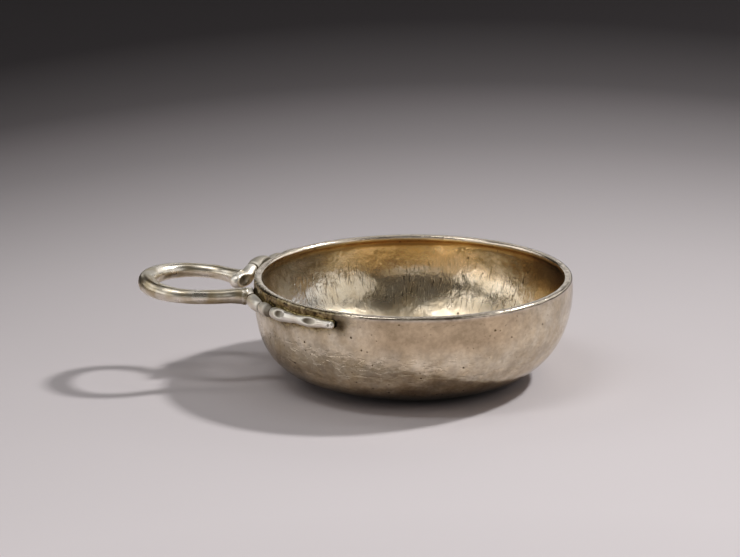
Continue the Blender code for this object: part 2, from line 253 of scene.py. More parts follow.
def makeLights():
    for name, (azimuth, elevation, distance, size, glow) in lights.items():
        data = bpy.data.lights.new(name, "AREA")
        data.shape = "RECTANGLE"
        data.size, data.size_y = size
        data.energy = glow * math.pi * (data.size * data.size_y)
        lamp = addObject(name, data)
        away = towards(math.radians(azimuth), math.radians(elevation))
        lamp.location = view["target"] + away * distance
        # the first side of a lamp is level, that of the two overhead runs from left to right
        level = Vector((1, 0, 0)) if name.startswith("top") else Vector((0, 0, 1)).cross(away)
        level = (level - away * level.dot(away)).normalized()
        lamp.rotation_euler = Matrix((level, away.cross(level), away)).transposed().to_euler()
        lamp.visible_camera = False
    world = bpy.data.worlds.new("dim room")
    world.use_nodes = True
    world.node_tree.nodes["Background"].inputs["Color"].default_value = (roomGlow, roomGlow, roomGlow, 1)
    bpy.context.scene.world = world
    colours = bpy.context.scene.view_settings
    colours.view_transform = "Standard"
    colours.use_curve_mapping = True
    for point in toneCurve:
        colours.curve_mapping.curves[3].points.new(*point)
    colours.curve_mapping.update()


makeCamera()
makePaper()
makeLights()
print("camera, floor and light ready")


# Bowl: sheet silver raised to a round shape, the wall thickened towards the lip

bowl = {
    "rimRadius": 40.0 * mm,
    "bellySwell": 0.46 * mm,
    "footRadius": 19.6 * mm,
    "bellyHeight": 23.2 * mm,
    "rimRise": 2.2 * mm,
    "rimLean": 0.05 * mm,
    "fullness": 2.11,
    "thickness": 1.2 * mm,
    "lipThickness": 2.1 * mm,
    "lipTaper": 2.0 * mm,
    "steps": 420,
    "wallPoints": 64,
    "rimPoints": 5,
    "lipPoints": 18,
    "floorRings": 8,
    "lipSquare": 0.6,
    "facetSize": 6.5 * mm,
    "facetDepth": 0.16 * mm,
    "facetBlend": 0.35,
    "dentSize": 14.0 * mm,
    "dentDepth": 0.30 * mm,
    "seed": 4.0,
    "plainBase": (0.05, 0.2, 0.0, 1.0),   # shares of the height from and to, and of the hammering there
    "plainLip": (0.8, 1.0, 1.0, 0.15),
    "weld": 0.005 * mm,
    "patinaAbove": 7.5 * mm,   # how far the olive patina spreads from a tail
    "patinaBelow": 2.4 * mm,
    "patinaStart": 0.15,       # share of the tail before it starts
    "patinaPoints": 200,
    "tipShadowReach": 0.8 * mm,     # the darkest place of the painted shadow, just past the tip of a tail
    "tipShadowSize": 3.2 * mm,
    "tipShadowFullness": 1.3,
    "besideShadeWidth": 0.6 * mm,
    "besideShade": 0.6,         # how dark the painted shade in the line beside a tail is
    "bulge": 1.7 * mm,         # the beaten wall is fuller low on the left of the front
    "bulgeHeight": 7.0 * mm,
    "bulgeSpread": 7.5 * mm,
    "bulgeFoot": 4.0 * mm,
    "bulgeStart": (-5, 38),    # degrees to the left of the front, and over how many it comes in
    "bulgeEnd": (55, 75),      # and goes out
    "innerFrom": 0.3 * mm,     # how deep in the wall the finish of the inside starts
    "innerOver": 0.8 * mm,
}
bellyRadius = bowl["rimRadius"] + bowl["bellySwell"]
lipEdge = bowl["bellyHeight"] + bowl["rimRise"]
bowlHeight = lipEdge + bowl["lipThickness"] / 2


def wallRadius(height):
    # outer radius of the bowl at a height above the table
    if height >= lipEdge:
        return bellyRadius - bowl["rimLean"]
    if height >= bowl["bellyHeight"]:
        rise = (height - bowl["bellyHeight"]) / bowl["rimRise"]
        return bellyRadius - bowl["rimLean"] * rise ** 2
    cosine = max(1 - height / bowl["bellyHeight"], 0.0) ** (bowl["fullness"] / 2)
    sine = math.sqrt(max(1 - min(cosine, 1.0) ** 2, 0.0))
    return bowl["footRadius"] + (bellyRadius - bowl["footRadius"]) * sine ** (2 / bowl["fullness"])


def bowlOutline():
    # radius and height of the section: inner wall, round lip, outer wall, flat base
    outside = []
    for i in range(bowl["wallPoints"]):
        angle = math.pi / 2 * i / (bowl["wallPoints"] - 1)
        height = bowl["bellyHeight"] * (1 - max(math.cos(angle), 0.0) ** (2 / bowl["fullness"]))
        outside.append(Vector((wallRadius(height), height)))
    for i in range(1, bowl["rimPoints"] + 1):
        height = bowl["bellyHeight"] + bowl["rimRise"] * i / bowl["rimPoints"]
        outside.append(Vector((wallRadius(height), height)))
    inside = []
    for i, point in enumerate(outside):
        before, after = outside[max(i - 1, 0)], outside[min(i + 1, len(outside) - 1)]
        along = (after - before).normalized()
        out = Vector((along.y, -along.x))
        if i == 0:
            out = Vector((0, -1))
        if i == len(outside) - 1:
            out = Vector((1, 0))
        rise = max(1 - (lipEdge - point.y) / bowl["lipTaper"], 0.0)
        thickness = bowl["thickness"] + (bowl["lipThickness"] - bowl["thickness"]) * rise ** 2
        inside.append(point - out * thickness)
    lipRadius = bowl["lipThickness"] / 2
    lip = []
    for i in range(1, bowl["lipPoints"]):
        angle = math.pi * (1 - i / bowl["lipPoints"])
        # squarer than half a circle
        across = math.copysign(abs(math.cos(angle)) ** bowl["lipSquare"], math.cos(angle))
        lip.append(Vector((wallRadius(lipEdge) - lipRadius + lipRadius * across,
                           lipEdge + lipRadius * math.sin(angle) ** bowl["lipSquare"])))
    radii = [bowl["footRadius"] * i / bowl["floorRings"] for i in range(bowl["floorRings"])]
    inFloor = [Vector((radius, bowl["thickness"])) for radius in radii]
    outFloor = [Vector((radius, 0.0)) for radius in radii]
    return inFloor + inside + lip + outside[::-1] + outFloor[::-1]


def hammeredBowlTree():
    tree, add, given = newTree("hammeredBowl", {
        "Steps": "Int", "Turn Radius": "Float", "Facet Size": "Float", "Facet Depth": "Float",
        "Dent Size": "Float", "Dent Depth": "Float", "Rim Height": "Float", "Seed": "Float",
        "Finish": "Material"})
    section = add("GeometryNodeMeshToCurve", {0: given["Geometry"]})
    circle = add("GeometryNodeCurvePrimitiveCircle",
                 {"Resolution": given["Steps"], "Radius": given["Turn Radius"]})
    upright = add("GeometryNodeSetCurveNormal", {0: circle}, mode="Z_UP")
    turned = add("GeometryNodeCurveToMesh", {"Curve": upright, "Profile Curve": section})
    joined = add("GeometryNodeMergeByDistance", {0: turned, "Distance": bowl["weld"]})
    place = add("GeometryNodeInputPosition")
    perFacet = add("Math", {0: 1.0, 1: given["Facet Size"]}, operation="DIVIDE")
    perDent = add("Math", {0: 1.0, 1: given["Dent Size"]}, operation="DIVIDE")
    facets = add("TexVoronoi", {"Vector": place, "W": given["Seed"], "Scale": perFacet,
                                "Smoothness": bowl["facetBlend"]},
                 voronoi_dimensions="4D", feature="SMOOTH_F1")
    dish = add("Math", {0: facets, 1: 2.0}, operation="POWER")
    dents = add("TexNoise", {"Vector": place, "W": given["Seed"], "Scale": perDent, "Detail": 1.0},
                noise_dimensions="4D")
    middle = add("Math", {0: dents, 1: 0.5}, operation="SUBTRACT")
    deep = add("Math", {0: dish, 1: given["Facet Depth"]}, operation="MULTIPLY")
    wide = add("Math", {0: middle, 1: given["Dent Depth"]}, operation="MULTIPLY")
    both = add("Math", {0: deep, 1: wide}, operation="ADD")
    height = add("SeparateXYZ", {0: place}, output="Z")
    share = add("Math", {0: height, 1: given["Rim Height"]}, operation="DIVIDE")
    # nothing on the flat base, and little at the lip
    for start, end, first, last in (bowl["plainBase"], bowl["plainLip"]):
        edge = add("MapRange", {"Value": share, "From Min": start, "From Max": end, "To Min": first,
                                "To Max": last}, interpolation_type="SMOOTHSTEP")
        both = add("Math", {0: both, 1: edge}, operation="MULTIPLY")
    endTree(add, joined, both, given["Finish"])
    return tree


# Handle: a ring whose arms butt on two knuckled tails that run along the wall

ring = {
    "reach": 16.45 * mm,
    "halfLength": 11.25 * mm,
    "halfWidth": 11.65 * mm,
    "rodRadius": 1.8 * mm,
    "endRadius": 2.35 * mm,
    "swellEase": 1.5,
    "tilt": math.radians(3.2),
    "armPull": 7.0 * mm,
    "endPull": 5.0 * mm,
    "flareLength": 3.0 * mm,
    "underShadeReach": 9.0 * mm,    # how far the painted shade lies under the near arm
    "underShadeEdge": 1.3,
    "underShade": 0.6,
    "endGrime": 0.5,
    "endGrimeReach": 0.8 * mm,
    "armPoints": 60,
    "turnPoints": 120,
    "sides": 48,
    "waverSize": 5.0 * mm,
    "waverDepth": 0.10 * mm,
}

tail = {
    "rootReach": 5.4 * mm,
    "rootOffset": 3.2 * mm,
    "rootDrop": 3.15 * mm,
    "rootBend": 0.75,
    "startAngle": math.radians(14.0),
    "tipStandoff": 0.65 * mm,
    "standoffEase": 4,
    "length": 44.2 * mm,
    "tipRounding": 0.9 * mm,
    "rootSwell": 2.4 * mm,
    # knuckles: where each starts, peaks and ends, with its groove, peak and groove radius
    "rootBead": (0.0, 0.0, 8.6 * mm, 0.4 * mm, 1.95 * mm, 1.45 * mm),
    "firstKnuckle": (8.6 * mm, 12.4 * mm, 16.8 * mm, 1.40 * mm, 0.0, 1.12 * mm),
    "secondKnuckle": (16.8 * mm, 19.8 * mm, 22.6 * mm, 1.12 * mm, 1.70 * mm, 0.95 * mm),
    # the long finger: distance along the tail and radius there
    "finger": ((22.6, 0.95), (23.2, 1.30), (24.2, 1.54), (26.4, 1.64), (29.6, 1.34), (32.4, 1.06),
               (34.8, 1.20), (37.0, 1.36), (39.2, 1.16), (40.8, 0.98), (43.3, 0.95), (44.2, 0.95)),
    # scoops: distance along the tail, half length, half height and depth
    "scoops": ((27.2 * mm, 2.10 * mm, 1.15 * mm, 0.60 * mm), (37.3 * mm, 2.70 * mm, 1.00 * mm, 0.55 * mm)),
    "scoopLift": math.radians(28.0),
    "rootScoop": (2.0 * mm, 3.10 * mm, 1.70 * mm, 1.15 * mm),
    "rootScoopLift": math.radians(8.0),
    "dimpleInset": 1.3 * mm,
    "dimpleRadius": 0.5 * mm,
    "dimpleDepth": 0.3 * mm,
    "scoopEase": 1.4,
    "hollowDarkGain": 1.4,          # how quickly the dark, grime and painted shade, deepens in a hollow
    "scoopShade": 0.95,        # how dark the grime and painted shade are in each kind of hollow
    "rootScoopShade": 1.2,
    "dimpleShade": 0.7,
    "shallowShade": 0.25,      # share of it at the end of a scoop away from the root
    "grooveWidth": 0.35 * mm,
    "topShade": 0.2,           # painted shade on top of the knuckles
    "topEdge": (0.45, 0.5),
    "slopeShade": 0.85,        # painted shade on the slope of a knuckle down to the next groove
    "slopeStart": 1.2 * mm,
    "slopeRun": 1.7 * mm,
    "wallShade": 0.8,          # painted shade against the wall
    "wallShadeReach": 0.35 * mm,
    "tarnishRun": 1.0 * mm,
    "knuckleEase": 0.6,
    "tipFlat": 0.0025,
    "routeSteps": 80,
    "overrun": 1.0 * mm,
    "axisStep": 0.4 * mm,
    "steps": 380,
    "sides": 48,
    "backSides": 8,
    "openAngle": math.radians(150),
    "searchStep": math.radians(2),
    "searchRounds": 8,
}

sides = {
    "near": {"side": -1, "rootEnd": 4.2 * mm, "rootScoop": False, "joint": 6.8 * mm,
             "splay": math.radians(6.0), "standoff": 1.0 * mm, "knuckle": 1.9 * mm, "knuckleDrop": 4.2 * mm,
             "tipDrop": 2.9 * mm, "tarnish": 0.0, "flare": 0.28 * mm},
    "far": {"side": 1, "rootEnd": -1.5 * mm, "rootScoop": True, "joint": 3.6 * mm,
            "splay": math.radians(30.0), "standoff": 2.7 * mm, "knuckle": 2.5 * mm, "knuckleDrop": 1.9 * mm,
            "tipDrop": 2.1 * mm, "tarnish": 0.75, "flare": 0.25 * mm},
}

solder = {
    "collar": 0.7 * mm,        # how far the solder has crept up the end of the ring
    "thickness": 0.3 * mm,
    "clearance": 0.15 * mm,
    "seatDepth": 0.9 * mm,
    "margin": 0.2 * mm,
    "spread": 0.30 * mm,
    "bead": 0.10 * mm,
    "lump": 0.14 * mm,
    "lumpScale": 2.2,
    "lumpPlace": (7, 2),       # where in the noise the lumps start, and how far they run
    "cover": 0.02 * mm,        # thickness where it runs out
    "raggedSize": 1.6 * mm,
    "bedSteps": 200,
    "bedAcross": 24,
    "collarRings": 14,
    "collarSides": 64,
    "collarEase": 0.7,
}
tailBack = solder["thickness"] + 2 * solder["clearance"]


def tailRoute(side):
    # centre line of a tail: length so far in plan, place in plan (towards the ring and sideways) and height
    route = []

    def add(place, drop):
        before = route[-1] if route else None
        length = before[0] + (place - before[1]).length if before else 0.0
        route.append((length, place, bowlHeight - drop))

    def onWall(angle, drop, standoff):
        return Vector((math.cos(angle), math.sin(angle))) * (wallRadius(bowlHeight - drop) + standoff)

    drop, angle, steps = side["knuckleDrop"], tail["startAngle"], tail["routeSteps"]
    start = Vector((bowl["rimRadius"] + tail["rootReach"], tail["rootOffset"]))
    landing = onWall(angle, drop, side["standoff"])
    corner = landing - Vector((-math.sin(angle), math.cos(angle))) * (landing.y - start.y) * tail["rootBend"]
    for i in range(steps):
        u = i / steps
        place = start * (1 - u) ** 2 + corner * 2 * u * (1 - u) + landing * u ** 2
        add(place, tail["rootDrop"] + (drop - tail["rootDrop"]) * smooth(2 * u - 1))
    rootLength = route[-1][0]
    run = tail["length"] - rootLength
    while route[-1][0] < tail["length"] + tail["overrun"]:
        u = min((route[-1][0] - rootLength) / run, 1.0)
        here = drop + (side["tipDrop"] - drop) * u
        sink = (side["standoff"] - tail["tipStandoff"]) * (1 - u) ** tail["standoffEase"]
        add(onWall(angle, here, tail["tipStandoff"] + sink), here)
        angle += run / steps / route[-1][1].length
    return route


def tailPoint(side, route, distance):
    index = 0
    while index < len(route) - 2 and route[index + 1][0] < distance:
        index += 1
    (a, planA, zA), (b, planB, zB) = route[index], route[index + 1]
    share = (distance - a) / (b - a)
    plan = planA.lerp(planB, share)
    return Vector((-plan.x, plan.y * side["side"], zA + (zB - zA) * share))


def tailAxes(side, route, distance):
    # directions along the tail, out from the wall and up
    step = tail["axisStep"]
    along = (tailPoint(side, route, distance + step) - tailPoint(side, route, distance - step)).normalized()
    out = along.cross(Vector((0, 0, 1))).normalized() * -side["side"]
    return along, out, out.cross(along).normalized() * -side["side"]


def knuckleRadius(distance, knuckle):
    start, peak, end, low, high, lowEnd = knuckle
    if distance < peak:
        foot, share = low, (peak - distance) / (peak - start)
    else:
        foot, share = lowEnd, (distance - peak) / (end - peak)
    return foot + (high - foot) * max(1 - share ** 2, 0.0) ** tail["knuckleEase"]


def tailRadius(side, distance):
    root, first = list(tail["rootBead"]), list(tail["firstKnuckle"])
    root[0], root[1] = side["rootEnd"], side["rootEnd"] + tail["rootSwell"]
    first[4] = side["knuckle"]
    for knuckle in (root, first, tail["secondKnuckle"]):
        if distance <= knuckle[2]:
            return knuckleRadius(distance, knuckle)
    stations = [(d * mm, r * mm) for d, r in tail["finger"]]
    radius = stations[-1][1]
    for (a, ra), (b, rb) in zip(stations, stations[1:]):
        if distance <= b:
            radius = ra + (rb - ra) * smooth((distance - a) / (b - a))
            break
    past = (distance - (tail["length"] - tail["tipRounding"])) / tail["tipRounding"]
    return radius * math.sqrt(max(1 - max(past, 0.0) ** 2, tail["tipFlat"]))


def ringAngles(centre, out, up, radius):
    # angles round a ring of the tail, with points exactly where the ring meets its solder bed
    def clear(angle):
        spot = centre + (out * math.cos(angle) + up * math.sin(angle)) * radius
        return math.hypot(spot.x, spot.y) > wallRadius(spot.z) + tailBack

    limits = []
    for way in (-1, 1):
        angle = 0.0
        while angle < tail["openAngle"] and clear(way * angle):
            angle += tail["searchStep"]
        low, high = max(angle - tail["searchStep"], 0.0), angle
        for _ in range(tail["searchRounds"]):
            middle = (low + high) / 2
            low, high = (middle, high) if clear(way * middle) else (low, middle)
        limits.append(way * min(low, tail["openAngle"]))
    first, last = limits
    front = tail["sides"] - tail["backSides"]
    angles = [first + (last - first) * j / front for j in range(front + 1)]
    rest = math.tau - (last - first)
    return angles + [last + rest * j / tail["backSides"] for j in range(1, tail["backSides"])]


def tailHollows(side, route):
    # centre, axes, half length, half height, depth and darkness of each hollow cut in a tail
    radius = tail["dimpleRadius"]
    dimple = (tail["length"] - tail["dimpleInset"], radius, radius, tail["dimpleDepth"])
    cuts = [(1, tail["scoopLift"], tail["scoopShade"], sizes) for sizes in tail["scoops"]]
    cuts.append((1, 0.0, tail["dimpleShade"], dimple))
    if side["rootScoop"]:
        cuts.append((-1, tail["rootScoopLift"], tail["rootScoopShade"], tail["rootScoop"]))
    hollows = []
    for way, lift, shade, (station, halfLength, halfHeight, depth) in cuts:
        along, out, up = tailAxes(side, route, station)
        facing = out * way * math.cos(lift) + up * math.sin(lift)
        centre = tailPoint(side, route, station)
        hollows.append((centre, along, facing.cross(along), facing, halfLength, halfHeight, depth, shade))
    return hollows


def makeTail(name, side, route, finish):
    hollows = tailHollows(side, route)
    grooves = (tail["firstKnuckle"][0], tail["firstKnuckle"][2], tail["secondKnuckle"][2])
    topStart, topOver = tail["topEdge"]
    recess, rings = [], []
    for i in range(tail["steps"] + 1):
        distance = side["rootEnd"] + (tail["length"] - side["rootEnd"]) * i / tail["steps"]
        centre = tailPoint(side, route, distance)
        _, out, up = tailAxes(side, route, distance)
        radius = tailRadius(side, distance)
        knuckled = distance < grooves[2]
        grime = max(fade(distance - groove, tail["grooveWidth"]) for groove in grooves)
        grime = max(grime, side["tarnish"] * smooth((distance - grooves[0]) / tail["tarnishRun"]))
        # painted shade on the slope of each knuckle down to the next groove
        if knuckled:
            slope = tail["secondKnuckle"][1] if distance > grooves[1] else grooves[1] - tail["slopeStart"]
            grime = max(grime, tail["slopeShade"] * smooth((distance - slope) / tail["slopeRun"]))
        rings.append([])
        for angle in ringAngles(centre, out, up, radius):
            spot = centre + (out * math.cos(angle) + up * math.sin(angle)) * radius
            # painted shade on top of the knuckles
            onTop = tail["topShade"] * smooth((math.sin(angle) - topStart) / topOver) if knuckled else 0.0
            dark = max(grime, onTop)
            for middle, lengthways, across, facing, halfLength, halfHeight, depth, shade in hollows:
                offset = spot - middle
                run = offset.dot(lengthways) / halfLength
                reach = run ** 2 + (offset.dot(across) / halfHeight) ** 2
                if reach < 1 and offset.dot(facing) > 0:
                    spot = spot - facing * depth * (1 - reach) ** tail["scoopEase"]
                    # painted shade: the dark lies deepest against the steep end towards the root
                    steep = smooth((0.5 - 0.5 * run) * tail["hollowDarkGain"])
                    deep = tail["shallowShade"] + (1 - tail["shallowShade"]) * steep
                    dark = max(dark, shade * smooth((1 - reach) * tail["hollowDarkGain"]) * deep)
            flat = math.hypot(spot.x, spot.y)
            wall = wallRadius(spot.z) + tailBack
            # painted shade where the tail lies against the wall
            dark = max(dark, tail["wallShade"] * smooth(1 - (flat - wall) / tail["wallShadeReach"]))
            if flat < wall:
                spot = Vector((spot.x * wall / flat, spot.y * wall / flat, spot.z))
            rings[-1].append(spot)
            recess.append(dark)
    obj = tubeObject(name, rings, finish)
    setAttribute(obj.data, "recess", recess)
    return obj


def jointAxis(side):
    return Vector((-math.cos(side["splay"]), math.sin(side["splay"]) * side["side"],
                   math.tan(ring["tilt"]))).normalized()


def armRoute(side, route):
    # from the widest place of the ring to the end that butts on the tail
    end = tailPoint(side, route, side["joint"]) + jointAxis(side) * (solder["seatDepth"] + tailBack)
    centre = bowl["rimRadius"] + ring["reach"]
    slope = math.tan(ring["tilt"])
    start = Vector((-centre, ring["halfWidth"] * side["side"], end.z + (centre + end.x) * slope))
    first = start + Vector((1, 0, -slope)) * ring["armPull"]
    second = end + jointAxis(side) * ring["endPull"]
    points = []
    for i in range(ring["armPoints"] + 1):
        u = i / ring["armPoints"]
        v = 1 - u
        points.append(start * v ** 3 + first * 3 * u * v ** 2 + second * 3 * u ** 2 * v + end * u ** 3)
    return points


def makeRing(routes, finish):
    nearArm, farArm = [armRoute(sides[name], routes[name]) for name in ("near", "far")]
    centre = bowl["rimRadius"] + ring["reach"]
    points = nearArm[::-1]
    radii = [ring["rodRadius"]] * len(nearArm)
    for i in range(1, ring["turnPoints"]):
        turn = i / ring["turnPoints"]
        angle = math.pi * turn
        reach = ring["halfLength"] * math.sin(angle)
        height = nearArm[0].z + (farArm[0].z - nearArm[0].z) * turn + reach * math.tan(ring["tilt"])
        points.append(Vector((-centre - reach, -ring["halfWidth"] * math.cos(angle), height)))
        swell = math.sin(angle) ** ring["swellEase"]
        radii.append(ring["rodRadius"] + (ring["endRadius"] - ring["rodRadius"]) * swell)
    points += farArm
    radii += [ring["rodRadius"]] * len(farArm)
    ends = (points[0], points[-1])
    for i, point in enumerate(points):
        for end, side in zip(ends, (sides["near"], sides["far"])):
            radii[i] += side["flare"] * fade((point - end).length, ring["flareLength"])
    mesh = bpy.data.meshes.new("ring path")
    mesh.from_pydata(points, [(i, i + 1) for i in range(len(points) - 1)], [])
    setAttribute(mesh, "rodRadius", radii)
    obj = addObject("ringHandle", mesh)
    runTree(obj, rodTree(), {"Sides": ring["sides"], "Waver Size": ring["waverSize"],
                             "Waver Depth": ring["waverDepth"], "Finish": finish})
    recess = []
    # painted shade under the near arm by its end, and darker at both ends by the solder
    for vertex in obj.data.vertices:
        away = max(min((vertex.co - end).length for end in ends) - ring["rodRadius"], 0.0)
        under = fade((vertex.co - ends[0]).length, ring["underShadeReach"])
        under *= smooth(-ring["underShadeEdge"] * vertex.normal.z)
        recess.append(max(ring["underShade"] * under, ring["endGrime"] * fade(away, ring["endGrimeReach"])))
    setAttribute(obj.data, "recess", recess)
    return obj


def rodTree():
    tree, add, given = newTree("forgedRod", {"Sides": "Int", "Waver Size": "Float", "Waver Depth": "Float",
                                             "Finish": "Material"})
    path = add("GeometryNodeMeshToCurve", {0: given["Geometry"]})
    width = add("GeometryNodeInputNamedAttribute", {"Name": "rodRadius"}, data_type="FLOAT")
    section = add("GeometryNodeCurvePrimitiveCircle", {"Resolution": given["Sides"], "Radius": 1.0})
    swept = add("GeometryNodeCurveToMesh", {"Curve": path, "Profile Curve": section, "Scale": width,
                                            "Fill Caps": True})
    place = add("GeometryNodeInputPosition")
    perWaver = add("Math", {0: 1.0, 1: given["Waver Size"]}, operation="DIVIDE")
    waver = add("TexNoise", {"Vector": place, "Scale": perWaver, "Detail": 1.0})
    middle = add("Math", {0: waver, 1: 0.5}, operation="SUBTRACT")
    amount = add("Math", {0: middle, 1: given["Waver Depth"]}, operation="MULTIPLY")
    endTree(add, swept, amount, given["Finish"])
    return tree


def makeBed(name, side, route, finish):
    # solder between a tail and the wall: thick under the tail, run out thin and ragged beside it
    across, steps = solder["bedAcross"], solder["bedSteps"]
    rings = []
    for i in range(steps + 1):
        distance = side["rootEnd"] + (tail["length"] - side["rootEnd"]) * i / steps
        centre = tailPoint(side, route, distance)
        flat = math.hypot(centre.x, centre.y)
        gap = flat - wallRadius(centre.z) - solder["clearance"]
        reach = tailRadius(side, distance) + solder["margin"]
        if reach <= gap or centre.z > lipEdge + reach:
            continue
        ragged = noise.noise(centre / solder["raggedSize"]) * 0.5 + 0.5
        half = math.sqrt(reach ** 2 - gap ** 2) + solder["spread"] * ragged
        outward = Vector((centre.x, centre.y, 0)) / flat
        layers = []
        for cover in (0.0, 1.0):
            layers.append([])
            for j in range(across + 1):
                v = 2 * j / across - 1
                height = min(centre.z + half * v, lipEdge)
                lift = solder["clearance"] + cover * (solder["cover"] + solder["thickness"] * (1 - v * v))
                layers[-1].append(outward * (wallRadius(height) + lift) + Vector((0, 0, height)))
        rings.append(layers[0] + layers[1][::-1])
    return tubeObject(name, rings, finish)


def makeJointSolder(name, side, route, finish):
    # a lumpy collar of solder between the end of the ring and the seat on the tail
    axis = jointAxis(side)
    start = tailPoint(side, route, side["joint"]) + axis * solder["seatDepth"]
    turn = axis.to_track_quat("Z", "Y").to_matrix()
    foot = ring["rodRadius"] + side["flare"] + solder["cover"]
    length = tailBack + solder["collar"]
    lumpStart, lumpRun = solder["lumpPlace"]
    rings = []
    for i in range(solder["collarRings"] + 1):
        share = i / solder["collarRings"]
        swell = math.sin(math.pi * share) ** solder["collarEase"] * (1 - 0.5 * share)
        rings.append([])
        for j in range(solder["collarSides"]):
            spin = math.tau * j / solder["collarSides"]
            out = turn @ Vector((math.cos(spin), math.sin(spin), 0))
            lump = noise.noise(out * solder["lumpScale"] + axis * (lumpStart + lumpRun * share))
            radius = foot + (solder["bead"] + lump * solder["lump"]) * swell
            rings[-1].append(start + out * radius + axis * length * share)
    obj = tubeObject(name, rings, finish)
    setAttribute(obj.data, "rubbed", [1.0] * len(obj.data.vertices))
    return obj


# Finishes, with lengths in millimetres

